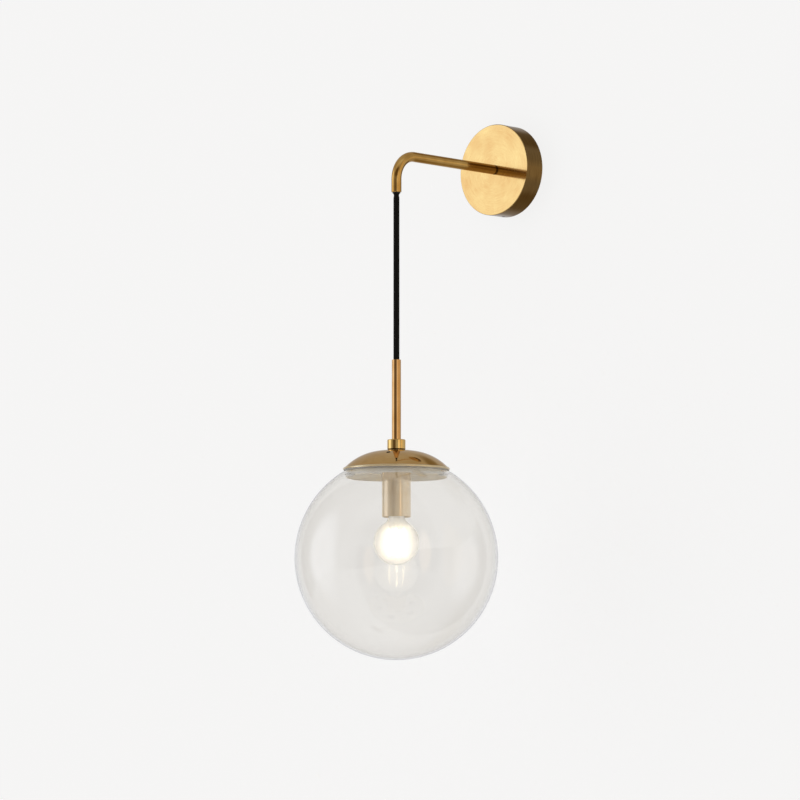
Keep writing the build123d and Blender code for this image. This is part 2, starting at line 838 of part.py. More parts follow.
bulb_cap_radius = bulb_cap_diameter / 2
ring_centre_radius = bulb_cap_radius - thread_ring_radius / 4
shell_inner_radius = ring_centre_radius + thread_ring_radius + moving_gap
shell_outer_radius = shell_inner_radius + shell_wall
holder_screw_places = [(-holder_screw_spacing / 2, 0), (holder_screw_spacing / 2, 0)]
with BuildPart() as holder_body:
    with BuildSketch(level(holder_foot_z)):
        Circle(holder_radius)
    extrude(amount=holder_body_z - holder_foot_z)
    with BuildSketch(level(holder_foot_z)):
        Circle(shell_outer_radius + fit_gap)
    extrude(amount=deck_z - holder_foot_z, mode=Mode.SUBTRACT)
    with BuildSketch(level(holder_foot_z)):
        Circle(holder_mouth_diameter / 2)
    extrude(amount=flare_z - holder_foot_z, mode=Mode.SUBTRACT)
    with BuildSketch(level(deck_z)):
        Circle(contact_rivet_diameter / 2 + fit_gap)
        with Locations(*holder_screw_places):
            Circle(holder_screw_diameter / 2 + fit_gap)
    extrude(amount=holder_deck, mode=Mode.SUBTRACT)
save(holder_body, "holder_body")

screw_shell = tube(
    level(flare_z), shell_outer_radius, shell_inner_radius, contact_foot_z - flare_z
)
save(screw_shell, "screw_shell")

with BuildPart() as centre_contact:
    with BuildSketch(level(deck_z - contact_leaf_thickness)):
        Circle(contact_leaf_diameter / 2)
    extrude(amount=contact_leaf_thickness)
    with BuildSketch(level(deck_z)):
        Circle(contact_rivet_diameter / 2)
    extrude(amount=holder_deck + contact_leaf_thickness)
save(centre_contact, "centre_contact")

with BuildPart() as holder_screws:
    with BuildSketch(level(deck_z)):
        with Locations(*holder_screw_places):
            Circle(holder_screw_diameter / 2)
    extrude(amount=holder_deck)
    with BuildSketch(level(holder_body_z)):
        with Locations(*holder_screw_places):
            Circle(holder_screw_head_diameter / 2)
    extrude(amount=holder_screw_head_height)
save(holder_screws, "holder_screws")

wire_level_z = holder_roof_z - core_radius - loose_gap
wire_reach = (holder_screw_spacing - holder_screw_head_diameter) / 2 - loose_gap
holder_live, holder_neutral = [
    wire(
        [
            (side * core_spread, hang_y, cord_foot_z),
            (side * core_spread, hang_y, wire_level_z),
            (side * wire_reach, hang_y, wire_level_z),
        ],
        core_radius,
        core_bend_radius,
    )
    for side in (1, -1)
]
save(holder_live, "holder_live_wire")
save(holder_neutral, "holder_neutral_wire")

# ---------------------------------------------------------------- bulb
contact_radius = bulb_contact_diameter / 2
with BuildPart() as bulb_contact:
    with BuildSketch(level(contact_foot_z)):
        Circle(contact_radius)
    extrude(amount=bulb_contact_height)
    fillet(bulb_contact.edges().sort_by(Axis.Z)[-1], radius=bulb_contact_height / 2)
save(bulb_contact, "bulb_contact")

bulb_insulator = turned(
    [
        (contact_radius + moving_gap, insulator_top_z),
        (insulator_top_diameter / 2, insulator_top_z),
        (bulb_cap_radius, insulator_foot_z),
        (0, insulator_foot_z),
        (0, contact_foot_z - moving_gap),
        (contact_radius + moving_gap, contact_foot_z - moving_gap),
    ]
)
save(bulb_insulator, "bulb_insulator")

flare_radius = bulb_cap_flare_diameter / 2
bulb_cap = turned(
    [
        (bulb_cap_radius - bulb_cap_wall, insulator_foot_z),
        (bulb_cap_radius, insulator_foot_z),
        (bulb_cap_radius, flare_z),
        (flare_radius, bulb_cap_foot_z),
        (flare_radius - bulb_cap_wall, bulb_cap_foot_z),
        (bulb_cap_radius - bulb_cap_wall, flare_z),
    ]
)
ring_top_z = insulator_foot_z - thread_pitch / 2
with BuildPart() as threaded_bulb_cap:
    add(bulb_cap.part)
    with BuildSketch(hang):
        for step in range(thread_rings):
            with Locations((ring_centre_radius, ring_top_z - step * thread_pitch)):
                Circle(thread_ring_radius)
                Rectangle(
                    bulb_cap_wall + thread_ring_radius,
                    2 * thread_ring_radius,
                    align=(Align.MAX, Align.CENTER),
                    mode=Mode.SUBTRACT,
                )
    revolve(axis=hang_axis)
save(threaded_bulb_cap, "bulb_cap")


# The bulb's neck runs into its ball through a hollow arc whose centre is at hollow_z.
hollow_z = neck_top_z - bulb_neck_length
hollow_reach = bulb_diameter / 2 + bulb_neck_fillet
hollow_side = bulb_neck_diameter / 2 + bulb_neck_fillet
bulb_centre_z = hollow_z - math.sqrt(hollow_reach**2 - hollow_side**2)


def bulb_shape(inset, top_z):
    """The bulb's solid outline, set in from the glass's outer face, up to top_z."""
    ball = bulb_diameter / 2 - inset
    neck = bulb_neck_diameter / 2 - inset
    hollow = bulb_neck_fillet + inset
    share = ball / hollow_reach
    meet = (
        share * hollow_side,
        bulb_centre_z + share * (hollow_z - bulb_centre_z),
    )
    with BuildPart() as piece:
        with BuildSketch(hang):
            with BuildLine():
                Line((0, top_z), (neck, top_z))
                Line((neck, top_z), (neck, hollow_z))
                RadiusArc((neck, hollow_z), meet, -hollow)
                ThreePointArc(meet, (ball, bulb_centre_z), (0, bulb_centre_z - ball))
                Line((0, bulb_centre_z - ball), (0, top_z))
            make_face()
        revolve(axis=hang_axis)
    return piece


envelope_outside = bulb_shape(0, neck_top_z)
envelope_inside = bulb_shape(bulb_glass, neck_top_z)
with BuildPart() as bulb_envelope:
    add(envelope_outside.part)
    add(envelope_inside.part, mode=Mode.SUBTRACT)
save(bulb_envelope, "bulb_envelope")

filament_wire_radius = filament_wire_diameter / 2
filament_foot_z = bulb_centre_z - filament_length / 2
filament_top_z = filament_foot_z + filament_length
mount_radius = mount_diameter / 2
mount_foot_z = filament_top_z + filament_wire_diameter
flange_radius = bulb_neck_diameter / 2 - bulb_glass - fit_gap
bulb_mount = turned(
    [
        (0, neck_top_z),
        (flange_radius, neck_top_z),
        (flange_radius, neck_top_z - mount_flange_thickness),
        (mount_radius, neck_top_z - 2 * mount_flange_thickness),
        (mount_radius, mount_foot_z),
        (0, mount_foot_z),
    ]
)
save(bulb_mount, "bulb_mount")

filament_ring_radius = filament_circle_diameter / 2
upper_spoke_z = filament_top_z + filament_wire_radius
lower_spoke_z = filament_foot_z - filament_wire_radius
filament_angles = [
    filament_first_angle + 360 * step / filament_count for step in range(filament_count)
]

with BuildPart() as filaments:
    with BuildSketch(level(filament_foot_z)):
        with PolarLocations(
            filament_ring_radius, filament_count, start_angle=filament_first_angle
        ):
            Circle(filament_diameter / 2)
    extrude(amount=filament_length)
save(filaments, "filaments")

with BuildPart() as filament_wires:
    with BuildSketch(level(lower_spoke_z)):
        Circle(filament_wire_radius)
    extrude(amount=mount_foot_z - lower_spoke_z)
    for angle in filament_angles:
        for spoke_z in (upper_spoke_z, lower_spoke_z):
            with BuildSketch(spoke_plane(angle, spoke_z)):
                Circle(filament_wire_radius)
            extrude(amount=filament_ring_radius)
save(filament_wires, "filament_wires")

# ---------------------------------------------------------------- what the sizes come to
print("hanging axis y", hang_y, "pivot z", pivot_z, "stem top z", stem_top_z)
print("cord in the open", cord_free_length, "solid", cord_start_z - stem_top_z)
print("cap shoulder radius", round(shoulder_radius, 2), "rim z", rim_z)
print("globe centre z", round(globe_centre_z, 2), "bulb centre z", round(bulb_centre_z, 2))
print("cup foot z", round(cup_foot_z, 2), "holder foot z", round(holder_foot_z, 2))
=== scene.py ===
"""A globe wall sconce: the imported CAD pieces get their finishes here, and the pieces whose
looks need more than a solid, such as the woven cord and the blown glass, are modelled.

Everything is in metres, in the CAD's frame: the wall is the plane y = 0, the sconce stands
out from it along -Y, +X is to the right seen from the front and +Z is up.
"""

import logging
import math
from dataclasses import dataclass
from enum import Enum

import bpy
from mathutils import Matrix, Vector


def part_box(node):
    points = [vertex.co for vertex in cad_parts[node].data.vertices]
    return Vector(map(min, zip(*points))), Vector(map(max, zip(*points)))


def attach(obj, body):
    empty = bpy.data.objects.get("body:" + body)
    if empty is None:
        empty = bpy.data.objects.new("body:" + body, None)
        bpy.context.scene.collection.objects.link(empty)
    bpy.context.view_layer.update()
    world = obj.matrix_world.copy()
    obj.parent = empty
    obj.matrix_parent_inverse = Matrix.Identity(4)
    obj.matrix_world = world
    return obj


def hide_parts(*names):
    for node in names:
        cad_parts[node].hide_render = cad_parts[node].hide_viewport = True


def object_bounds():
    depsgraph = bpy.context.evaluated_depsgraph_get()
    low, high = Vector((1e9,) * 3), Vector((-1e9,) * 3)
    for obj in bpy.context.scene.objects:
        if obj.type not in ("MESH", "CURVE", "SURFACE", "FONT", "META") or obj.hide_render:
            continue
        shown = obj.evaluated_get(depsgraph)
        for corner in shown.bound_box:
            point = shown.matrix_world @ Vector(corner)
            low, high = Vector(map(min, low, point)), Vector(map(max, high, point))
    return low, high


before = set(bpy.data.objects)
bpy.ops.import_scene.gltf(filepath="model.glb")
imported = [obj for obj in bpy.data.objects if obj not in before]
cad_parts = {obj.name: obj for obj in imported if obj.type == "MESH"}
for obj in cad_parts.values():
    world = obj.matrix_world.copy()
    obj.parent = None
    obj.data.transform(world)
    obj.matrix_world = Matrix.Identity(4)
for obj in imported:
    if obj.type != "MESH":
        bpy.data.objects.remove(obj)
cad_low, cad_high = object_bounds()

LOG = logging.getLogger("sconce")
Colour = tuple[float, float, float, float]
Point = tuple[float, float, float]
Material = bpy.types.Material
Node = bpy.types.Node
Piece = bpy.types.Object
Socket = bpy.types.NodeSocket
Tree = bpy.types.NodeTree
Sockets = dict[str | int, Socket]
Values = dict[str | int, object]


# ---------------------------------------------------------------- small tools
def mm(value: float) -> float:
    """Millimetres as metres."""
    return value / 1000


# The vertical line that the pendant hangs on.
HANGING_AXIS: Point = (0.0, mm(-164.5), 0.0)
# How deep scratches, plating spots and a mould's texture go.
FINE_DEPTH = mm(0.05)


def linear(code: str) -> Colour:
    """An sRGB hex colour as linear RGBA.

    Args:
        code: The colour as six hex digits after a #.

    Returns:
        The colour that shader sockets take.
    """
    parts = [int(code[i : i + 2], 16) / 255 for i in (1, 3, 5)]
    red, green, blue = (
        part / 12.92 if part <= 0.04045 else ((part + 0.055) / 1.055) ** 2.4 for part in parts
    )
    return red, green, blue, 1.0


def add_node(
    tree: Tree,
    kind: str,
    settings: Values | None = None,
    links: Sockets | None = None,
) -> Node:
    """Adds a node with its settings and links.

    Args:
        tree: The node tree that gets the node.
        kind: The node's class name, after ShaderNode.
        settings: Values for the node's own properties or its inputs, by name or number.
        links: Sockets that feed the node's inputs, by the input's name or number.

    Returns:
        The new node.
    """
    node = tree.nodes.new("ShaderNode" + kind)
    for key, value in (settings or {}).items():
        if isinstance(key, str) and hasattr(node, key):
            setattr(node, key, value)
        else:
            node.inputs[key].default_value = value
    for key, socket in (links or {}).items():
        tree.links.new(socket, node.inputs[key])
    return node


def new_material(name: str) -> tuple[Material, Tree]:
    """Makes an empty node material.

    Args:
        name: The material's name.

    Returns:
        The material and its node tree.
    """
    material = bpy.data.materials.new(name)
    material.use_nodes = True
    material.node_tree.nodes.clear()
    return material, material.node_tree


def grain_place(tree: Tree, centre: Point, scale: Point) -> Socket:
    """Object coordinates about a centre, scaled so that one unit is one grain.

    Args:
        tree: The material's node tree.
        centre: The point that becomes the pattern's origin, in metres.
        scale: Grains per metre along each axis.

    Returns:
        The vector that a texture reads.
    """
    place = add_node(tree, "TexCoord")
    shift = [-c * s for c, s in zip(centre, scale)]
    mapping = add_node(
        tree, "Mapping", {"Location": shift, "Scale": scale}, {"Vector": place.outputs["Object"]}
    )
    return mapping.outputs[0]


def turn_place(tree: Tree, centre: Point, axis: str, around: float, along: float) -> Socket:
    """Coordinates on a turned piece: its angle, and its radius and height.

    Args:
        tree: The material's node tree.
        centre: A point on the piece's axis, in metres.
        axis: "Y" or "Z", the way that the axis runs.
        around: Grains in a radian round the axis.
        along: Grains per metre of radius and of height.

    Returns:
        The vector that a texture reads.
    """
    place = add_node(tree, "TexCoord")
    local = add_node(
        tree, "VectorMath", {"operation": "SUBTRACT", 1: centre}, {0: place.outputs["Object"]}
    )
    parts = add_node(tree, "SeparateXYZ", {}, {0: local.outputs[0]})
    across, up, height = {"Z": ("X", "Y", "Z"), "Y": ("X", "Z", "Y")}[axis]
    angle = add_node(
        tree, "Math", {"operation": "ARCTAN2"}, {0: parts.outputs[across], 1: parts.outputs[up]}
    )
    flat = add_node(tree, "CombineXYZ", {}, {0: parts.outputs[across], 1: parts.outputs[up]})
    radius = add_node(tree, "VectorMath", {"operation": "LENGTH"}, {0: flat.outputs[0]})
    sizes = []
    for socket, scale in (
        (angle.outputs[0], around),
        (radius.outputs["Value"], along),
        (parts.outputs[height], along),
    ):
        sized = add_node(tree, "Math", {"operation": "MULTIPLY", 1: scale}, {0: socket})
        sizes.append(sized.outputs[0])
    joined = add_node(tree, "CombineXYZ", {}, {0: sizes[0], 1: sizes[1], 2: sizes[2]})
    return joined.outputs[0]


def bent_place(tree: Tree, centre: Point, radius: float, across: float, along: float) -> Socket:
    """Coordinates on a tube that is bent once, in the YZ plane, so that marks follow it.

    Args:
        tree: The material's node tree.
        centre: The bend's centre, in metres.
        radius: The bend's radius.
        across: Grains per metre across the tube.
        along: Grains per metre along it.

    Returns:
        The vector that a texture reads.
    """
    place = add_node(tree, "TexCoord")
    local = add_node(
        tree, "VectorMath", {"operation": "SUBTRACT", 1: centre}, {0: place.outputs["Object"]}
    )
    parts = add_node(tree, "SeparateXYZ", {}, {0: local.outputs[0]})
    # Past the bend's ends one of the two lengths is held at nought, so that the distance
    # from the centre goes on as the distance from the straight run.
    outward = add_node(tree, "Math", {"operation": "MINIMUM", 1: 0.0}, {0: parts.outputs["Y"]})
    upward = add_node(tree, "Math", {"operation": "MAXIMUM", 1: 0.0}, {0: parts.outputs["Z"]})
    away = add_node(tree, "CombineXYZ", {}, {0: outward.outputs[0], 1: upward.outputs[0]})
    reach = add_node(tree, "VectorMath", {"operation": "LENGTH"}, {0: away.outputs[0]})
    run = add_node(
        tree, "Math", {"operation": "ADD"}, {0: parts.outputs["Y"], 1: parts.outputs["Z"]}
    )
    joined = add_node(
        tree,
        "CombineXYZ",
        {},
        {0: parts.outputs["X"], 1: reach.outputs["Value"], 2: run.outputs[0]},
    )
    mapping = add_node(
        tree,
        "Mapping",
        {"Location": (0.0, -radius * across, 0.0), "Scale": (across, across, along)},
        {"Vector": joined.outputs[0]},
    )
    return mapping.outputs[0]


def deselect() -> None:
    """Leaves nothing selected."""
    if bpy.context.object and bpy.context.object.mode != "OBJECT":
        bpy.ops.object.mode_set(mode="OBJECT")
    bpy.ops.object.select_all(action="DESELECT")


def select_only(piece: Piece) -> None:
    """Makes a piece the one that is selected and active.

    Args:
        piece: The piece.
    """
    deselect()
    piece.select_set(True)
    bpy.context.view_layer.objects.active = piece


def apply_place(piece: Piece) -> None:
    """Moves a piece's place, turn and scale into its mesh."""
    select_only(piece)
    bpy.ops.object.transform_apply(location=True, rotation=True, scale=True)


def spin_outline(
    name: str,
    outline: list[tuple[float, float]],
    centre: Point,
    steps: int,
    weld: float = mm(0.002),
) -> Piece:
    """Draws an outline by extruding its first point, and spins it round a vertical axis.

    Args:
        name: The new piece's name.
        outline: Points as radius and height above the centre, in metres.
        centre: A point on the axis.
        steps: Segments round the axis.
        weld: Points that are nearer than this become one.

    Returns:
        The turned piece, with its place in its mesh and its faces outwards.
    """
    points = [Vector((centre[0] + r, centre[1], centre[2] + z)) for r, z in outline]
    deselect()
    bpy.ops.mesh.primitive_plane_add(size=mm(1), location=points[0])
    piece = bpy.context.object
    piece.name = name
    apply_place(piece)
    bpy.ops.object.mode_set(mode="EDIT")
    bpy.ops.mesh.select_all(action="SELECT")
    # The small plane shrinks to the outline's first point.
    bpy.ops.mesh.merge(type="CENTER")
    for last, point in zip(points, points[1:]):
        bpy.ops.mesh.extrude_region_move(TRANSFORM_OT_translate={"value": point - last})
    bpy.ops.mesh.select_all(action="SELECT")
    bpy.ops.mesh.spin(
        steps=steps, angle=math.tau, center=centre, axis=(0, 0, 1), use_auto_merge=True
    )
    bpy.ops.mesh.select_all(action="SELECT")
    bpy.ops.mesh.remove_doubles(threshold=weld)
    bpy.ops.mesh.normals_make_consistent(inside=False)
    bpy.ops.object.mode_set(mode="OBJECT")
    bpy.ops.object.shade_smooth()
    return piece


def arc_points(
    centre: tuple[float, float], radius: float, start: float, end: float, steps: int
) -> list[tuple[float, float]]:
    """Points on an arc, both ends included.

    Args:
        centre: The arc's centre.
        radius: Its radius.
        start: The angle of its first point, in radians.
        end: The angle of its last point.
        steps: How many segments it has.

    Returns:
        The points in order.
    """
    return [
        (
            centre[0] + radius * math.cos(start + (end - start) * i / steps),
            centre[1] + radius * math.sin(start + (end - start) * i / steps),
        )
        for i in range(steps + 1)
    ]


def dress(name: str, material: Material) -> None:
    """Gives a CAD node its material.

    Args:
        name: The node's name.
        material: The finish that it gets.
    """
    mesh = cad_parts[name].data
    mesh.materials.clear()
    mesh.materials.append(material)
    LOG.info("%s: %s", name, material.name)


def place_piece(
    piece: Piece,
    material: Material,
    body: str,
    stands_for: tuple[str, ...] = (),
) -> Piece:
    """Finishes a modelled piece: its material, its body and the nodes that it stands for.

    Args:
        piece: The piece, with its place in its mesh.
        material: Its finish.
        body: The CAD body that it moves with.
        stands_for: CAD nodes that it replaces.

    Returns:
        The piece.
    """
    piece.data.materials.clear()
    piece.data.materials.append(material)
    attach(piece, body)
    if stands_for:
        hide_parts(*stands_for)
    LOG.info("%s: new piece on %s, %s", piece.name, body, material.name)
    return piece


# ---------------------------------------------------------------- finishes
class Grain(Enum):
    """Which way a brass piece was brushed or polished."""

    UPRIGHT = "upright"
    BENT = "bent"
    ROUND_Y = "round_y"
    ROUND_Z = "round_z"


@dataclass(frozen=True)
class DarkBand:
    """A darker strip of a brass piece. On the plate's rim and at the collar's foot it is painted
    shade; at the arm's root it is a dark ring where the arm meets the plate. It runs round the
    named axis, between two heights along it or two radii from it."""

    axis: str
    by_height: bool
    start: float
    end: float
    tone: str
    soft: float = mm(0.12)


@dataclass(frozen=True)
class Brass:
    """Brass, brushed or polished and lacquered: a warm metal whose fine scratches all run
    one way, with soft darker patches where the lacquer has aged."""

    name: str
    tone: str
    shade: str
    roughness: float
    grain: Grain
    centre: Point
    scratch: float = mm(0.5)
    scratch_stretch: float = 60.0
    scratches_in_radian: float = 2.5
    scratch_depth: float = 0.12
    bend_radius: float = mm(25)
    patch: float = mm(14)
    patch_share: float = 0.45
    band: DarkBand | None = None
    metallic: float = 1.0
    # Upright holes whose walls get painted shade.
    holes: tuple[Point, ...] = ()
    hole_radius: float = mm(2.07)
    hole_shade_tone: str = "#0d0906"

    def material(self) -> Material:
        """Builds the material.

        Returns:
            The brass with its grain, its patches and its fine bump.
        """
        material, tree = new_material(self.name)
        # Real brush marks are some 0.05 mm wide. They are drawn about ten times as wide, to
        # show at the render's one pixel per millimetre, and run long the other way.
        fine = 1 / self.scratch
        long = fine / self.scratch_stretch
        if self.grain is Grain.UPRIGHT:
            place = grain_place(tree, self.centre, (fine, fine, long))
        elif self.grain is Grain.BENT:
            place = bent_place(tree, self.centre, self.bend_radius, fine, long)
        else:
            axis = "Y" if self.grain is Grain.ROUND_Y else "Z"
            place = turn_place(tree, self.centre, axis, self.scratches_in_radian, fine)
        scratches = add_node(
            tree, "TexNoise", {"Scale": 1.0, "Detail": 6.0, "Roughness": 0.65}, {"Vector": place}
        )
        patch_place = grain_place(tree, self.centre, (1 / self.patch,) * 3)
        patches = add_node(
            tree,
            "TexNoise",
            {"Scale": 1.0, "Detail": 3.0, "Roughness": 0.5},
            {"Vector": patch_place},
        )
        mixed = add_node(
            tree,
            "Mix",
            {"data_type": "FLOAT", 0: self.patch_share},
            {2: scratches.outputs[0], 3: patches.outputs[0]},
        )
        spread = add_node(
            tree, "MapRange", {"From Min": 0.36, "From Max": 0.64}, {"Value": mixed.outputs[0]}
        )
        colour = add_node(
            tree,
            "Mix",
            {"data_type": "RGBA", 6: linear(self.shade), 7: linear(self.tone)},
            {0: spread.outputs[0]},
        )
        if self.band:
            colour = self.lay_band(tree, self.band, colour.outputs[2], scratches.outputs[0])
        # Painted shade: the walls of the vent holes go near black.
        if self.holes:
            colour = self.paint_hole_shade(tree, colour.outputs[2])
        rough = add_node(
            tree,
            "MapRange",
            {
                "From Min": 0.3,
                "From Max": 0.7,
                "To Min": self.roughness * 1.25,
                "To Max": self.roughness * 0.8,
            },
            {"Value": scratches.outputs[0]},
        )
        bump = add_node(
            tree,
            "Bump",
            {"Strength": self.scratch_depth, "Distance": FINE_DEPTH},
            {"Height": scratches.outputs[0]},
        )
        shader = add_node(
            tree,
            "BsdfPrincipled",
            {"Metallic": self.metallic},
            {
                "Base Color": colour.outputs[2],
                "Roughness": rough.outputs[0],
                "Normal": bump.outputs[0],
            },
        )
        add_node(tree, "OutputMaterial", {}, {"Surface": shader.outputs[0]})
        return material

    def paint_hole_shade(self, tree: Tree, colour: Socket) -> Node:
        """Paints shade into upright holes: their cut edges are made near black.

        Args:
            tree: The material's node tree.
            colour: The brass's colour so far.

        Returns:
            The node whose third output is the colour.
        """
        place = add_node(tree, "TexCoord")
        level = add_node(
            tree,
            "VectorMath",
            {"operation": "MULTIPLY", 1: (1.0, 1.0, 0.0)},
            {0: place.outputs["Object"]},
        )
        nearest = None
        for hole in self.holes:
            away = add_node(
                tree, "VectorMath", {"operation": "DISTANCE", 1: hole}, {0: level.outputs[0]}
            ).outputs["Value"]
            if nearest is not None:
                away = add_node(
                    tree, "Math", {"operation": "MINIMUM"}, {0: nearest, 1: away}
                ).outputs[0]
            nearest = away
        inside = add_node(
            tree, "Math", {"operation": "LESS_THAN", 1: self.hole_radius}, {0: nearest}
        )
        return add_node(
            tree,
            "Mix",
            {"data_type": "RGBA", 7: linear(self.hole_shade_tone)},
            {0: inside.outputs[0], 6: colour},
        )

    def lay_band(self, tree: Tree, band: DarkBand, colour: Socket, scratches: Socket) -> Node:
        """Lays a darker band round the piece, broken by the brush marks.

        Args:
            tree: The material's node tree.
            band: Where the band is, and its colour.
            colour: The brass's colour so far.
            scratches: The brush marks.

        Returns:
            The node whose third output is the colour.
        """
        middle = (self.centre[0], self.centre[1] if band.axis == "Z" else 0.0, 0.0)
        place = turn_place(tree, middle, band.axis, 1.0, 1.0)
        parts = add_node(tree, "SeparateXYZ", {}, {0: place})
        share = add_node(
            tree,
            "MapRange",
            {"From Min": 0.35, "From Max": 0.65, "To Min": 0.72, "To Max": 1.0},
            {"Value": scratches},
        )
        for limit, soft in ((band.start, band.soft), (band.end, -band.soft)):
            edge = add_node(
                tree,
                "MapRange",
                {"From Min": limit - soft, "From Max": limit + soft},
                {"Value": parts.outputs[2 if band.by_height else 1]},
            )
            share = add_node(
                tree, "Math", {"operation": "MULTIPLY"}, {0: share.outputs[0], 1: edge.outputs[0]}
            )
        return add_node(
            tree,
            "Mix",
            {"data_type": "RGBA", 7: linear(band.tone)},
            {0: share.outputs[0], 6: colour},
        )


@dataclass(frozen=True)
class Metal:
    """A plated or bright base metal for screws, springs and contacts."""

    name: str
    tone: str
    shade: str
    roughness: float
    grit: float = mm(0.8)

    def material(self) -> Material:
        """Builds the material: a metal whose plating varies in small soft spots.

        Returns:
            The metal.
        """
        material, tree = new_material(self.name)
        place = grain_place(tree, (0, 0, 0), (1 / self.grit,) * 3)
        spots = add_node(tree, "TexNoise", {"Scale": 1.0, "Detail": 4.0}, {"Vector": place})
        colour = add_node(
            tree,
            "Mix",
            {"data_type": "RGBA", 6: linear(self.shade), 7: linear(self.tone)},
            {0: spots.outputs[0]},
        )
        rough = add_node(
            tree,
            "MapRange",
            {"To Min": self.roughness * 1.3, "To Max": self.roughness * 0.7},
            {"Value": spots.outputs[0]},
        )
        bump = add_node(
            tree, "Bump", {"Strength": 0.08, "Distance": FINE_DEPTH}, {"Height": spots.outputs[0]}
        )
        shader = add_node(
            tree,
            "BsdfPrincipled",
            {"Metallic": 1.0},
            {
                "Base Color": colour.outputs[2],
                "Roughness": rough.outputs[0],
                "Normal": bump.outputs[0],
            },
        )
        add_node(tree, "OutputMaterial", {}, {"Surface": shader.outputs[0]})
        return material


@dataclass(frozen=True)
class Plastic:
    """A moulded plastic or rubber: an even colour with the mould's fine spark texture."""

    name: str
    tone: str
    shade: str
    roughness: float
    texture: float = mm(0.35)
    depth: float = 0.15

    def material(self) -> Material:
        """Builds the material: a mottled colour and a fine moulded bump.

        Returns:
            The plastic.
        """
        material, tree = new_material(self.name)
        place = grain_place(tree, (0, 0, 0), (1 / self.texture,) * 3)
        spark = add_node(tree, "TexNoise", {"Scale": 1.0, "Detail": 3.0}, {"Vector": place})
        cloud = add_node(tree, "TexNoise", {"Scale": 0.08, "Detail": 2.0}, {"Vector": place})
        colour = add_node(
            tree,
            "Mix",
            {"data_type": "RGBA", 6: linear(self.shade), 7: linear(self.tone)},
            {0: cloud.outputs[0]},
        )
        bump = add_node(
            tree,
            "Bump",
            {"Strength": self.depth, "Distance": FINE_DEPTH},
            {"Height": spark.outputs[0]},
        )
        shader = add_node(
            tree,
            "BsdfPrincipled",
            {"Roughness": self.roughness, "IOR": 1.5},
            {"Base Color": colour.outputs[2], "Normal": bump.outputs[0]},
        )
        add_node(tree, "OutputMaterial", {}, {"Surface": shader.outputs[0]})
        return material


@dataclass(frozen=True)
class StripedSheath:
    """PVC insulation of the earth core, green with a lengthwise yellow stripe."""

    name: str
    base: str
    stripe: str
    lay: float = mm(3)

    def material(self) -> Material:
        """Builds the material: stripes in bands across the wire's run.

        Returns:
            The striped sheath.
        """
        material, tree = new_material(self.name)
        place = grain_place(tree, (0, 0, 0), (1 / self.lay,) * 3)
        waves = add_node(
            tree,
            "TexWave",
            {"bands_direction": "DIAGONAL", "Scale": 0.4, "Distortion": 0.6},
            {"Vector": place},
        )
        edge = add_node(
            tree, "MapRange", {"From Min": 0.55, "From Max": 0.62}, {"Value": waves.outputs[1]}
        )
        colour = add_node(
            tree,
            "Mix",
            {"data_type": "RGBA", 6: linear(self.base), 7: linear(self.stripe)},
            {0: edge.outputs[0]},
        )
        shader = add_node(
            tree, "BsdfPrincipled", {"Roughness": 0.4}, {"Base Color": colour.outputs[2]}
        )
        add_node(tree, "OutputMaterial", {}, {"Surface": shader.outputs[0]})
        return material


@dataclass(frozen=True)
class Textile:
    """Black polyester braid round a cord: matt yarn that catches a soft sheen."""

    name: str = "braided_textile"
    tone: str = "#101011"
    shade: str = "#050505"
    carriers: int = 8
    lay_length: float = mm(24)
    yarn: float = mm(0.3)

    def material(self, centre: Point) -> Material:
        """Builds the material.

        Args:
            centre: A point on the cord's axis.

        Returns:
            The braid's colour, with painted shade in the grooves, and a sheen.
        """
        material, tree = new_material(self.name)
        # Sixteen carriers, eight each way, each 1.2 mm wide on a 6 mm cord.
        around, along = self.carriers / math.tau, self.carriers / self.lay_length
        place = turn_place(tree, centre, "Z", around, along)
        parts = add_node(tree, "SeparateXYZ", {}, {0: place})
        ways = []
        for sign in (1.0, -1.0):
            lean = add_node(
                tree,
                "Math",
                {"operation": "MULTIPLY_ADD", 1: sign},
                {0: parts.outputs[0], 2: parts.outputs[2]},
            )
            phase = add_node(
                tree, "Math", {"operation": "MULTIPLY", 1: math.tau}, {0: lean.outputs[0]}
            )
            wave = add_node(tree, "Math", {"operation": "SINE"}, {0: phase.outputs[0]})
            ways.append(wave.outputs[0])
        weave = add_node(tree, "Math", {"operation": "MULTIPLY"}, {0: ways[0], 1: ways[1]})
        yarn_place = grain_place(tree, (0, 0, 0), (1 / self.yarn,) * 3)
        yarn = add_node(tree, "TexNoise", {"Scale": 1.0, "Detail": 4.0}, {"Vector": yarn_place})
        height = add_node(
            tree,
            "Math",
            {"operation": "MULTIPLY_ADD", 1: 0.6},
            {0: weave.outputs[0], 2: yarn.outputs[0]},
        )
        # Painted shade: the colour goes darker where the braid's height is low, in its grooves.
        level = add_node(tree, "MapRange", {}, {"Value": height.outputs[0]})
        colour = add_node(
            tree,
            "Mix",
            {"data_type": "RGBA", 6: linear(self.shade), 7: linear(self.tone)},
            {0: level.outputs[0]},
        )
        bump = add_node(
            tree, "Bump", {"Strength": 0.3, "Distance": mm(0.1)}, {"Height": height.outputs[0]}
        )
        shader = add_node(
            tree,
            "BsdfPrincipled",
            {
                "Roughness": 0.8,
                "Specular IOR Level": 0.25,
                "Sheen Weight": 0.02,
                "Sheen Roughness": 0.4,
            },
            {"Base Color": colour.outputs[2], "Normal": bump.outputs[0]},
        )
        add_node(tree, "OutputMaterial", {}, {"Surface": shader.outputs[0]})
        return material


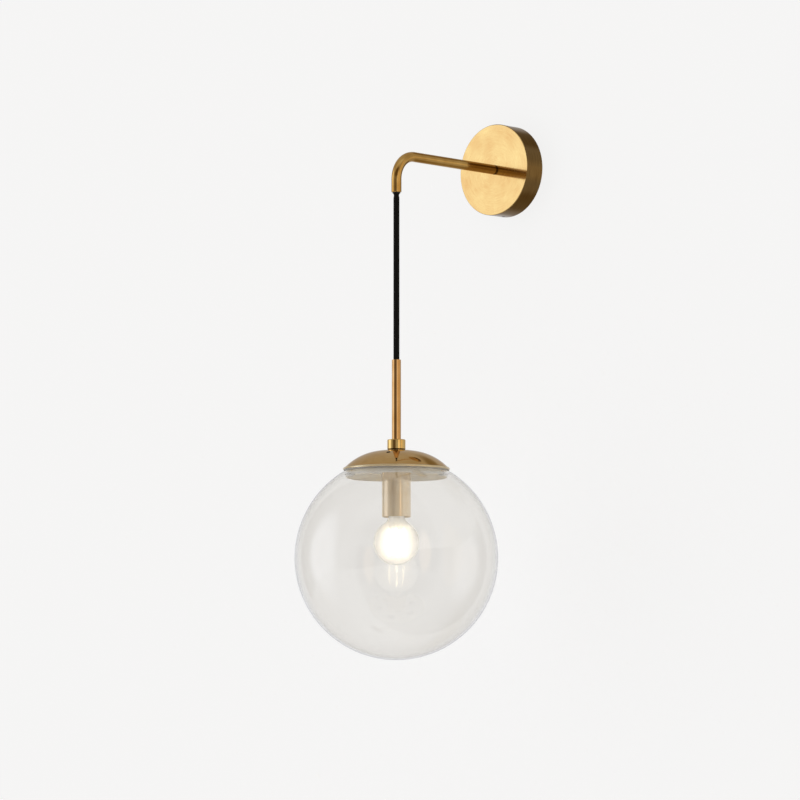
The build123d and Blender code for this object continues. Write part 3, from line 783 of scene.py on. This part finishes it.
@dataclass(frozen=True)
class Glass:
    """Clear soda-lime glass, blown: smooth, with a faint tint that comes and goes in long soft
    waves. A lit bulb's glass also scatters some light in specks of haze, and glows faintly."""

    name: str
    tint: str = "#f6f6f6"
    wave: float = mm(60)
    haze: float = 0.0
    haze_start: float = 0.49
    haze_edge: float = 0.04
    speck: float = mm(0.4)
    glow: float = 0.0
    glow_tone: str = "#fff8ea"

    def material(self) -> Material:
        """Builds the material: a transmissive shader, clear or with specks of haze.

        Returns:
            The glass.
        """
        material, tree = new_material(self.name)
        place = grain_place(tree, (0, 0, 0), (1 / self.wave,) * 3)
        waves = add_node(tree, "TexNoise", {"Scale": 1.0, "Detail": 0.0}, {"Vector": place})
        paler = add_node(
            tree,
            "MapRange",
            {"From Min": 0.3, "From Max": 0.7, "To Max": 0.2},
            {"Value": waves.outputs[0]},
        )
        tint = add_node(
            tree,
            "Mix",
            {"data_type": "RGBA", 6: linear(self.tint), 7: linear("#ffffff")},
            {0: paler.outputs[0]},
        )
        settings: Values = {"Roughness": 0.0, "IOR": 1.5, "Transmission Weight": 1.0}
        if self.glow:
            settings |= {"Emission Color": linear(self.glow_tone), "Emission Strength": self.glow}
        links = {"Base Color": tint.outputs[2]}
        if self.haze:
            # Real haze is far finer than this. The specks are drawn as wide as half a pixel,
            # so that they still blend into one another.
            specks = add_node(
                tree,
                "TexNoise",
                {"Scale": 1.0, "Detail": 2.0},
                {"Vector": grain_place(tree, (0, 0, 0), (1 / self.speck,) * 3)},
            )
            rough = add_node(
                tree,
                "MapRange",
                {
                    "From Min": self.haze_start,
                    "From Max": self.haze_start + self.haze_edge,
                    "To Max": self.haze,
                },
                {"Value": specks.outputs[0]},
            )
            links["Roughness"] = rough.outputs[0]
        shader = add_node(tree, "BsdfPrincipled", settings, links)
        add_node(tree, "OutputMaterial", {}, {"Surface": shader.outputs[0]})
        return material


@dataclass(frozen=True)
class Phosphor:
    """The phosphor coat of an LED filament, which glows warm white along its length."""

    name: str = "lit_phosphor"
    tone: str = "#ffefc8"
    strength: float = 8.0
    chip: float = mm(1.5)

    def material(self) -> Material:
        """Builds the material: a glowing coat with a faint run of brighter chips.

        Returns:
            The coat.
        """
        material, tree = new_material(self.name)
        place = grain_place(tree, (0, 0, 0), (1 / self.chip,) * 3)
        chips = add_node(tree, "TexWave", {"bands_direction": "Z", "Scale": 0.5}, {"Vector": place})
        glow = add_node(
            tree,
            "MapRange",
            {"To Min": self.strength * 0.9, "To Max": self.strength * 1.1},
            {"Value": chips.outputs[1]},
        )
        shader = add_node(
            tree,
            "BsdfPrincipled",
            {
                "Base Color": linear(self.tone),
                "Emission Color": linear(self.tone),
                "Roughness": 0.6,
            },
            {"Emission Strength": glow.outputs[0]},
        )
        add_node(tree, "OutputMaterial", {}, {"Surface": shader.outputs[0]})
        return material


# ---------------------------------------------------------------- the sconce
@dataclass
class WallSide:
    """The wall plate with what is behind it, and the bent arm with its bush."""

    plate_centre: Point = (0.0, 0.0, 0.0)
    plate_edge: float = mm(46.3)
    plate_past: float = mm(60)
    bend_centre: Point = (0.0, mm(-139.5), mm(-25))
    root_ring_front: float = mm(-24.2)
    root_ring_back: float = mm(-22)

    def dress_plate(self) -> None:
        """Brushed brass plate, with its zinc bracket and screws behind."""
        plate = Brass(
            "brushed_brass_plate",
            "#e6cc8c",
            "#d2a86c",
            0.09,
            Grain.ROUND_Y,
            self.plate_centre,
            patch=mm(22),
            # Painted shade: past plate_edge the rim is darker, standing in for the shadowed wall
            # beside it that it reflects.
            band=DarkBand("Y", False, self.plate_edge, self.plate_past, "#6e5229"),
        ).material()
        dress("wall_plate", plate)
        dress("backing_disc", Metal("raw_brass", "#c9a561", "#a8823f", 0.4).material())
        zinc = Metal("zinc_plated_steel", "#c4c8cc", "#9aa0a6", 0.38).material()
        screw = Metal("plated_screw_steel", "#b4b4b2", "#8c8c8a", 0.3).material()
        dress("wall_bracket", zinc)
        for place in ("plate", "terminal", "block"):
            dress(place + "_screws", screw)
        for place in ("earth", "grip"):
            dress(place + "_screw", screw)

    def dress_arm(self) -> None:
        """Brushed brass arm with its black bush and the cord inside it."""
        arm = Brass(
            "brushed_brass_arm",
            "#e2ba72",
            "#bf9148",
            0.1,
            Grain.BENT,
            self.bend_centre,
            # A dark ring round the arm's root, where it meets the plate's face.
            band=DarkBand("Y", True, self.root_ring_front, self.root_ring_back, "#5a3a14"),
        ).material()
        dress("arm_tube", arm)
        nylon = Plastic("moulded_black_nylon", "#1a1a1a", "#101010", 0.45).material()
        dress("arm_bush", nylon)
        dress("cord_grip", nylon)

    def dress_wiring(self) -> None:
        """The terminal block and the wires."""
        block = Plastic("moulded_white_nylon", "#e6e2d8", "#d9d4c8", 0.4).material()
        dress("terminal_block", block)
        dress("live_wire", Plastic("brown_insulation", "#5e3521", "#4f2c1b", 0.4).material())
        dress("neutral_wire", Plastic("blue_insulation", "#2c5fae", "#234f95", 0.4).material())
        earth = StripedSheath("green_yellow_insulation", "#3f8f3a", "#e3d24b").material()
        dress("earth_wire", earth)

    def build(self) -> None:
        """Dresses the whole sub-assembly."""
        self.dress_plate()
        self.dress_arm()
        self.dress_wiring()


@dataclass
class Cord:
    """The textile cord in the open, from the arm's mouth to the stem."""

    diameter: float = mm(6)
    top: Point = (HANGING_AXIS[0], HANGING_AXIS[1], -0.0392)
    middle_z: float = mm(-120)
    end_z: float = mm(-205)
    ring_gap: float = mm(0.4)
    carriers: int = Textile.carriers
    lay_length: float = Textile.lay_length
    relief: float = mm(0.11)
    segments: int = 64
    drawn_in: float = mm(0.7)
    drawn_length: float = mm(4.5)

    def centreline(self) -> list[Point]:
        """The cord's line under the pendant's weight: straight down, from its route's spline.

        Returns:
            Points from the exit to the stem.
        """
        x, y, z = self.top
        route = ((x, y, z), (x, y, self.middle_z), (x, y, self.end_z))
        data = bpy.data.curves.new("cord_route", "CURVE")
        data.dimensions = "3D"
        spline = data.splines.new("NURBS")
        spline.points.add(len(route) - 1)
        for point, place in zip(spline.points, route):
            point.co = (*place, 1.0)
        spline.order_u = 3
        spline.use_endpoint_u = True
        curve = bpy.data.objects.new("cord_route", data)
        bpy.context.scene.collection.objects.link(curve)
        bpy.context.view_layer.update()
        line = bpy.data.meshes.new_from_object(curve)
        points = [tuple(vertex.co) for vertex in line.vertices]
        bpy.data.objects.remove(curve)
        bpy.data.meshes.remove(line)
        return points

    def braid(self, angle: float, height: float) -> float:
        """How far the braid's yarn stands above the cord's mean radius.

        Args:
            angle: The angle round the cord, in radians.
            height: The height along it, in metres.

        Returns:
            The relief there, in metres.
        """
        climb = math.tau * height * self.carriers / self.lay_length
        right = math.sin(self.carriers * angle + climb)
        left = math.sin(self.carriers * angle - climb)
        return self.relief * (0.5 * right * left + 0.2 * (abs(right) + abs(left)) - 0.5)

    def slimming(self, height: float) -> float:
        """How far the cord is drawn in at the bush's mouth, so that it turns clear of it.

        Args:
            height: The height along the cord, in metres.

        Returns:
            What its radius loses there, in metres.
        """
        near = max(0.0, 1 - (self.top[2] - height) / self.drawn_length)
        return self.drawn_in * near

    def build(self, material: Material) -> None:
        """Models the woven cord as a tube with the braid in its surface.

        Args:
            material: The braid's finish.
        """
        x, y, z = self.top
        length = z - self.end_z
        rings = round(length / self.ring_gap)
        deselect()
        bpy.ops.mesh.primitive_cylinder_add(
            vertices=self.segments,
            radius=self.diameter / 2,
            depth=length,
            location=(x, y, (z + self.end_z) / 2),
        )
        piece = bpy.context.object
        piece.name = "woven_cord"
        apply_place(piece)
        bpy.ops.object.mode_set(mode="EDIT")
        for i in range(1, rings):
            bpy.ops.mesh.select_all(action="SELECT")
            bpy.ops.mesh.bisect(
                plane_co=(x, y, self.end_z + length * i / rings), plane_no=(0, 0, 1)
            )
        bpy.ops.object.mode_set(mode="OBJECT")
        for vertex in piece.data.vertices:
            out = Vector((vertex.co.x - x, vertex.co.y - y, 0.0)).normalized()
            height = vertex.co.z
            grow = self.braid(math.atan2(out.y, out.x), height) - self.slimming(height)
            vertex.co += out * grow
        bpy.ops.object.shade_smooth()
        place_piece(piece, material, "cord_run", ("cord",))
        self.centreline()
        for name in ("cord_bend", "cord_in_arm", "cord_in_stem"):
            dress(name, material)


@dataclass
class Pendant:
    """Stem, collar, cap and gallery, and the cup with the lamp holder."""

    bead: float = mm(0.9)
    bead_overhang: float = mm(0.15)
    bead_turn: tuple[float, float] = (math.radians(-140), math.radians(75))
    bead_steps: int = 14
    bead_segments: int = 180
    seam_top: tuple[float, float] = (mm(-0.1), mm(2.1))
    seam_foot: tuple[float, float] = (mm(-0.5), mm(1.9))
    vent_circle: float = mm(32)
    vent_angles: tuple[int, ...] = (60, 180, 300)
    shade_above_foot: float = mm(0.9)
    shade_below_foot: float = mm(1)

    def brass(
        self, name: str, tone: str, shade: str, roughness: float, grain: Grain, **rest: object
    ) -> Material:
        """A brass finish centred on the hanging axis.

        Args:
            name: The material's name.
            tone: Its main colour.
            shade: Its darker colour.
            roughness: How matt it is.
            grain: Which way it was brushed.
            rest: The finish's other fields.

        Returns:
            The material.
        """
        return Brass(name, tone, shade, roughness, grain, HANGING_AXIS, **rest).material()

    def rolled_lip(self, material: Material) -> None:
        """Models the bead that is rolled round the cap's lip.

        Args:
            material: The bead's finish.
        """
        low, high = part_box("cap_dome")
        out = (high.x - low.x) / 2
        centre = ((low.x + high.x) / 2, (low.y + high.y) / 2, low.z)
        middle = (out - self.bead_overhang, self.bead)
        outline = arc_points(middle, self.bead, *self.bead_turn, self.bead_steps)
        outline += [(out + r, z) for r, z in (self.seam_top, self.seam_foot)]
        outline.append(outline[0])
        piece = spin_outline("rolled_lip", outline, centre, self.bead_segments)
        place_piece(piece, material, "pendant")

    def vents(self) -> tuple[Point, ...]:
        """The middles of the cap's three vent holes.

        Returns:
            A point for each.
        """
        x, y, z = HANGING_AXIS
        turns = [math.radians(angle) for angle in self.vent_angles]
        out = self.vent_circle
        return tuple((x + out * math.cos(t), y + out * math.sin(t), z) for t in turns)

    def build(self) -> None:
        """Dresses the hanging pieces."""
        upright, round_z = Grain.UPRIGHT, Grain.ROUND_Z
        stem = self.brass("brushed_brass_stem", "#e8bd84", "#d3a05e", 0.09, upright)
        dress("stem_tube", stem)
        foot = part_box("collar")[0].z
        # Painted shade: a dark band round the collar's foot, where it sits on the cap.
        foot_shade = DarkBand("Z", True, foot - self.shade_below_foot, foot + self.shade_above_foot, "#2c1a08")
        collar = self.brass("turned_brass_collar", "#f4d48e", "#e4bc72", 0.08, round_z, band=foot_shade)
        dress("collar", collar)
        vents = self.vents()
        # The cap's vent holes get painted shade in their walls.
        cap = self.brass("spun_brass_cap", "#e0bc80", "#cfa76a", 0.06, round_z, holes=vents)
        dress("cap_dome", cap)
        # Painted highlight: the lip's near-white tone and part diffuse finish stand in for the
        # bright line along the rolled edge.
        lip = self.brass("pale_brass_lip_painted_highlight", "#fff2d2", "#f4dcae", 0.22, round_z, metallic=0.7)
        self.rolled_lip(lip)
        # Painted light: the cup's near-white tone and mostly diffuse finish stand in for the lit
        # bulb's light on it.
        cup = self.brass("drawn_brass_cup_painted_light", "#fff2da", "#fbe2bd", 0.13, upright, metallic=0.42)
        dress("holder_cup", cup)
        # Painted light: the gallery's white tone and almost fully diffuse finish brighten it in
        # place of more light from below.
        inner = self.brass("drawn_brass_gallery_painted_light", "#fffdf6", "#fdf2de", 0.35, round_z, metallic=0.1)
        dress("gallery", inner)
        raw = Metal("stamped_brass", "#c9a561", "#a8823f", 0.35).material()
        for name in ("cap_spacer", "clip_rivets", "screw_shell", "centre_contact"):
            dress(name, raw)
        screw = Metal("bright_steel", "#b9b9b7", "#91918f", 0.3).material()
        for name in ("collar_screw", "nipple", "lock_washer", "lock_nut", "holder_screws"):
            dress(name, screw)
        dress("globe_clips", Metal("spring_steel", "#c6c4c0", "#a5a39e", 0.25).material())
        dress("rim_gasket", Plastic("clear_silicone", "#d9d9d5", "#cfcfca", 0.5).material())
        black = Plastic("moulded_phenolic", "#1c1b1a", "#121110", 0.35).material()
        dress("holder_cap", black)
        dress("holder_body", black)
        dress("stem_bush", Plastic("black_sleeve", "#161616", "#0e0e0e", 0.5).material())
        dress("holder_live_wire", Plastic("brown_core", "#5e3521", "#4f2c1b", 0.4).material())
        dress("holder_neutral_wire", Plastic("blue_core", "#2c5fae", "#234f95", 0.4).material())


@dataclass
class Bulb:
    """The golf-ball filament bulb: a blown envelope, and a nickel cap with a rolled thread."""

    ball_radius: float = mm(22.5)
    neck_radius: float = mm(7.9)
    neck_fillet: float = mm(10)
    wall: float = mm(0.8)
    steps: int = 96
    ball_steps: int = 48
    fillet_steps: int = 12

    def side(self, inset: float, ball_z: float, top_z: float) -> list[tuple[float, float]]:
        """The envelope's outline from its foot up to its neck.

        Args:
            inset: How far inside the outer face it lies.
            ball_z: The height of the ball's centre.
            top_z: The height of the neck's end.

        Returns:
            Points as radius and height.
        """
        ball = self.ball_radius - inset
        hollow = self.neck_fillet + inset
        reach = self.ball_radius + self.neck_fillet
        across = self.neck_radius + self.neck_fillet
        rise = math.sqrt(reach**2 - across**2)
        meet = math.atan2(rise, across)
        outline = arc_points((0, ball_z), ball, -math.pi / 2, meet, self.ball_steps)
        fillet_centre = (across, ball_z + rise)
        start = math.pi + meet
        fillet = arc_points(fillet_centre, hollow, start, math.pi, self.fillet_steps)
        return outline + fillet[1:] + [(self.neck_radius - inset, top_z)]

    def envelope(self) -> Piece:
        """Models the glass as one closed shell.

        Returns:
            The envelope.
        """
        low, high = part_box("bulb_envelope")
        centre = ((low.x + high.x) / 2, (low.y + high.y) / 2, 0.0)
        ball_z = low.z + self.ball_radius
        outer = self.side(0.0, ball_z, high.z)
        inner = self.side(self.wall, ball_z, high.z)
        inner.reverse()
        return spin_outline("blown_envelope", outer + inner, centre, self.steps)

    def build(self) -> None:
        """Models the glass and dresses the bulb's other pieces."""
        glass = Glass("bulb_glass", "#ffffff", haze=0.75, glow=0.08).material()
        place_piece(self.envelope(), glass, "bulb", ("bulb_envelope",))
        dress("bulb_contact", Metal("tinned_solder", "#b9bab8", "#8f908e", 0.35).material())
        dress("bulb_insulator", Plastic("black_vitrite", "#17171a", "#0f0f11", 0.2).material())
        dress("bulb_cap", Metal("nickel_plate", "#d8d5cf", "#b5b1aa", 0.25).material())
        dress("bulb_mount", Glass("mount_glass", "#fbfaf5").material())
        dress("filaments", Phosphor().material())
        dress("filament_wires", Metal("nickel_wire", "#c9c7c3", "#a3a19c", 0.3).material())


@dataclass
class Globe:
    """The blown glass globe, as a smooth shell with a fire-polished lip."""

    radius: float = mm(100)
    wall: float = mm(2.6)
    mouth_radius: float = mm(50.4)
    steps: int = 256
    arcs: int = 150
    lip_steps: int = 8

    def build(self) -> None:
        """Models the globe from its section and sets it in the CAD globe's place."""
        low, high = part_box("glass_globe")
        centre = ((low.x + high.x) / 2, (low.y + high.y) / 2, low.z + self.radius)
        middle = self.radius - self.wall / 2
        half = self.wall / 2
        lean = math.acos((self.mouth_radius + half) / middle)
        outer = arc_points((0, 0), self.radius, -math.pi / 2, lean, self.arcs)
        lip_centre = (middle * math.cos(lean), middle * math.sin(lean))
        lip = arc_points(lip_centre, half, lean, lean + math.pi, self.lip_steps)
        inner = arc_points((0, 0), self.radius - self.wall, lean, -math.pi / 2, self.arcs)
        outline = outer + lip[1:-1] + inner
        piece = spin_outline("clear_globe", outline, centre, self.steps)
        glass = Glass("blown_glass", "#f7f6f4").material()
        place_piece(piece, glass, "globe", ("glass_globe",))


# ---------------------------------------------------------------- studio
@dataclass(frozen=True)
class Panel:
    """A lit or unlit side of the photographer's tent, as polished metal and glass see it: an
    oval patch among the directions round the object, with a soft edge."""

    name: str
    azimuth: float
    elevation: float
    half_width: float
    half_height: float
    tone: str
    strength: float
    edge: float

    def lay_over(self, tree: Tree, way: Socket, under: Socket) -> Socket:
        """Lays the panel over what is already in the tent.

        Args:
            tree: The world's node tree.
            way: The direction that a ray takes.
            under: The tent's colour so far.

        Returns:
            The colour with this panel in it.
        """
        turn, rise = math.radians(self.azimuth), math.radians(self.elevation)
        middle = (math.sin(turn) * math.cos(rise), -math.cos(turn) * math.cos(rise), math.sin(rise))
        size = (
            math.sin(math.radians(self.half_width)), 1.0, math.sin(math.radians(self.half_height))
        )
        place = add_node(
            tree,
            "Mapping",
            {
                "vector_type": "TEXTURE",
                "Location": middle,
                "Rotation": (-rise, 0, turn),
                "Scale": size,
            },
            {"Vector": way},
        )
        oval = add_node(tree, "TexGradient", {"gradient_type": "SPHERICAL"}, {0: place.outputs[0]})
        inside = add_node(
            tree,
            "MapRange",
            {"interpolation_type": "SMOOTHSTEP", "From Max": self.edge},
            {"Value": oval.outputs[1]},
        )
        red, green, blue, _ = linear(self.tone)
        lit = (red * self.strength, green * self.strength, blue * self.strength, 1.0)
        laid = add_node(
            tree, "Mix", {"data_type": "RGBA", 7: lit}, {0: inside.outputs[0], 6: under}
        )
        return laid.outputs[2]


@dataclass
class Studio:
    """Pale floor, soft light and the camera at the photograph's viewing angle."""

    lens: float = 183.07
    sensor: float = 36.0
    camera_place: Point = (2.78037, -3.03134, -0.62448)
    camera_ahead: Point = (-0.69244, 0.71524, 0.09464)
    clip: tuple[float, float] = (0.05, 60.0)
    background: str = "#f7f7f7"
    paper: str = "#ffffff"
    paper_share: float = 0.16
    tent: str = "#b5b0a9"
    sheet_size: tuple[float, float] = (6.0, 4.0)
    wall_gap: float = mm(1)
    floor_drop: float = 0.8
    panels: tuple[Panel, ...] = (
        Panel("below", 0, -88, 50, 50, "#f6f3ee", 0.95, 0.8),
        Panel("behind_level", 224, -2, 62, 26, "#d9dade", 1.0, 0.6),
        Panel("behind_right", 136, 0, 20, 22, "#fff4e2", 0.66, 0.8),
        Panel("behind_high", 180, 44, 30, 13, "#8a7c60", 1.0, 0.6),
        Panel("behind_low", 178, -42, 34, 13, "#94866a", 1.0, 0.6),
        Panel("camera_unlit", 16, -8, 42, 34, "#4c381a", 1.0, 0.7),
        Panel("front_raised", 40, 29, 60, 20, "#66553a", 1.0, 0.5),
        Panel("front_high", 44, 62, 60, 14, "#fffaf2", 0.6, 0.4),
        Panel("right_panel", 112, 2, 17, 36, "#f3dcb8", 0.85, 0.35),
        Panel("right_strip", 77, 4, 9, 30, "#ffe9cf", 1.4, 0.5),
        Panel("left_panel", -50, 3, 27, 44, "#f4f5fa", 1.45, 0.5),
    )

    def camera(self) -> None:
        """Sets the camera up."""
        data = bpy.data.cameras.new("camera")
        data.lens, data.sensor_width = self.lens, self.sensor
        data.clip_start, data.clip_end = self.clip
        camera = bpy.data.objects.new("camera", data)
        camera.location = self.camera_place
        camera.rotation_mode = "QUATERNION"
        camera.rotation_quaternion = Vector(self.camera_ahead).to_track_quat("-Z", "Y")
        bpy.context.scene.collection.objects.link(camera)
        bpy.context.scene.camera = camera

    def world(self) -> None:
        """A soft light tent round the object, with the plain background for the camera."""
        world = bpy.data.worlds.new("studio")
        bpy.context.scene.world = world
        world.use_nodes = True
        tree = world.node_tree
        tree.nodes.clear()
        way = add_node(tree, "TexCoord").outputs["Generated"]
        seen = add_node(tree, "RGB").outputs[0]
        seen.default_value = linear(self.tent)
        for panel in self.panels:
            seen = panel.lay_over(tree, way, seen)
        room = add_node(tree, "Background", {"Strength": 1.0}, {"Color": seen})
        plain = add_node(tree, "Background", {"Color": linear(self.background), "Strength": 1.0})
        rays = add_node(tree, "LightPath")
        straight = add_node(
            tree,
            "Math",
            {"operation": "MAXIMUM"},
            {0: rays.outputs["Is Camera Ray"], 1: rays.outputs["Is Transmission Ray"]},
        )
        direct = add_node(
            tree, "Math", {"operation": "LESS_THAN", 1: 0.5}, {0: rays.outputs["Glossy Depth"]}
        )
        both = add_node(
            tree, "Math", {"operation": "MULTIPLY"}, {0: straight.outputs[0], 1: direct.outputs[0]}
        )
        mixed = add_node(
            tree, "MixShader", {}, {0: both.outputs[0], 1: room.outputs[0], 2: plain.outputs[0]}
        )
        add_node(tree, "OutputWorld", {}, {"Surface": mixed.outputs[0]})

    def sheet_material(self, name: str) -> Material:
        """Pale backdrop paper that takes a soft shadow and can't be seen from behind.

        Args:
            name: The material's name.

        Returns:
            The material.
        """
        material, tree = new_material(name)
        # Paper lit by the tent, with the rest of its brightness laid on for the camera, so
        # that it comes out at the background's colour and keeps the object's shadow.
        tone = {"Color": linear(self.paper)}
        paper = add_node(tree, "BsdfDiffuse", tone)
        plain = add_node(tree, "Emission", tone)
        mixed = add_node(
            tree, "MixShader", {0: self.paper_share}, {1: plain.outputs[0], 2: paper.outputs[0]}
        )
        nothing = add_node(tree, "BsdfTransparent")
        sides = add_node(tree, "NewGeometry")
        shown = add_node(
            tree,
            "MixShader",
            {},
            {0: sides.outputs["Backfacing"], 1: mixed.outputs[0], 2: nothing.outputs[0]},
        )
        add_node(tree, "OutputMaterial", {}, {"Surface": shown.outputs[0]})
        return material

    def sheet(self, name: str, centre: Point, turn: float) -> None:
        """Hangs or lays a sheet of backdrop paper.

        Args:
            name: Its name.
            centre: Its middle.
            turn: Its turn about the X axis, in radians.
        """
        deselect()
        bpy.ops.mesh.primitive_plane_add(size=1, location=centre, rotation=(turn, 0, 0))
        piece = bpy.context.object
        piece.name = name
        piece.scale = (*self.sheet_size, 1.0)
        apply_place(piece)
        piece.data.materials.append(self.sheet_material(name + "_paper"))
        piece.visible_glossy = False
        piece.visible_diffuse = False
        piece.visible_shadow = False

    def build(self) -> None:
        """Sets the whole studio up."""
        scene = bpy.context.scene
        scene.view_settings.view_transform = "Standard"
        self.camera()
        self.world()
        half = self.sheet_size[1] / 2
        floor = cad_low.z - self.floor_drop
        self.sheet("wall", (0, self.wall_gap, floor + half), math.pi / 2)
        self.sheet("floor", (0, -half, floor), 0.0)


def main() -> None:
    """Builds the sconce and its studio, sub-assembly by sub-assembly."""
    logging.basicConfig(level=logging.INFO, format="%(name)s %(message)s")
    braid = Textile().material(HANGING_AXIS)
    WallSide().build()
    Cord().build(braid)
    Pendant().build()
    Bulb().build()
    Globe().build()
    Studio().build()


if __name__ == "__main__":
    main()
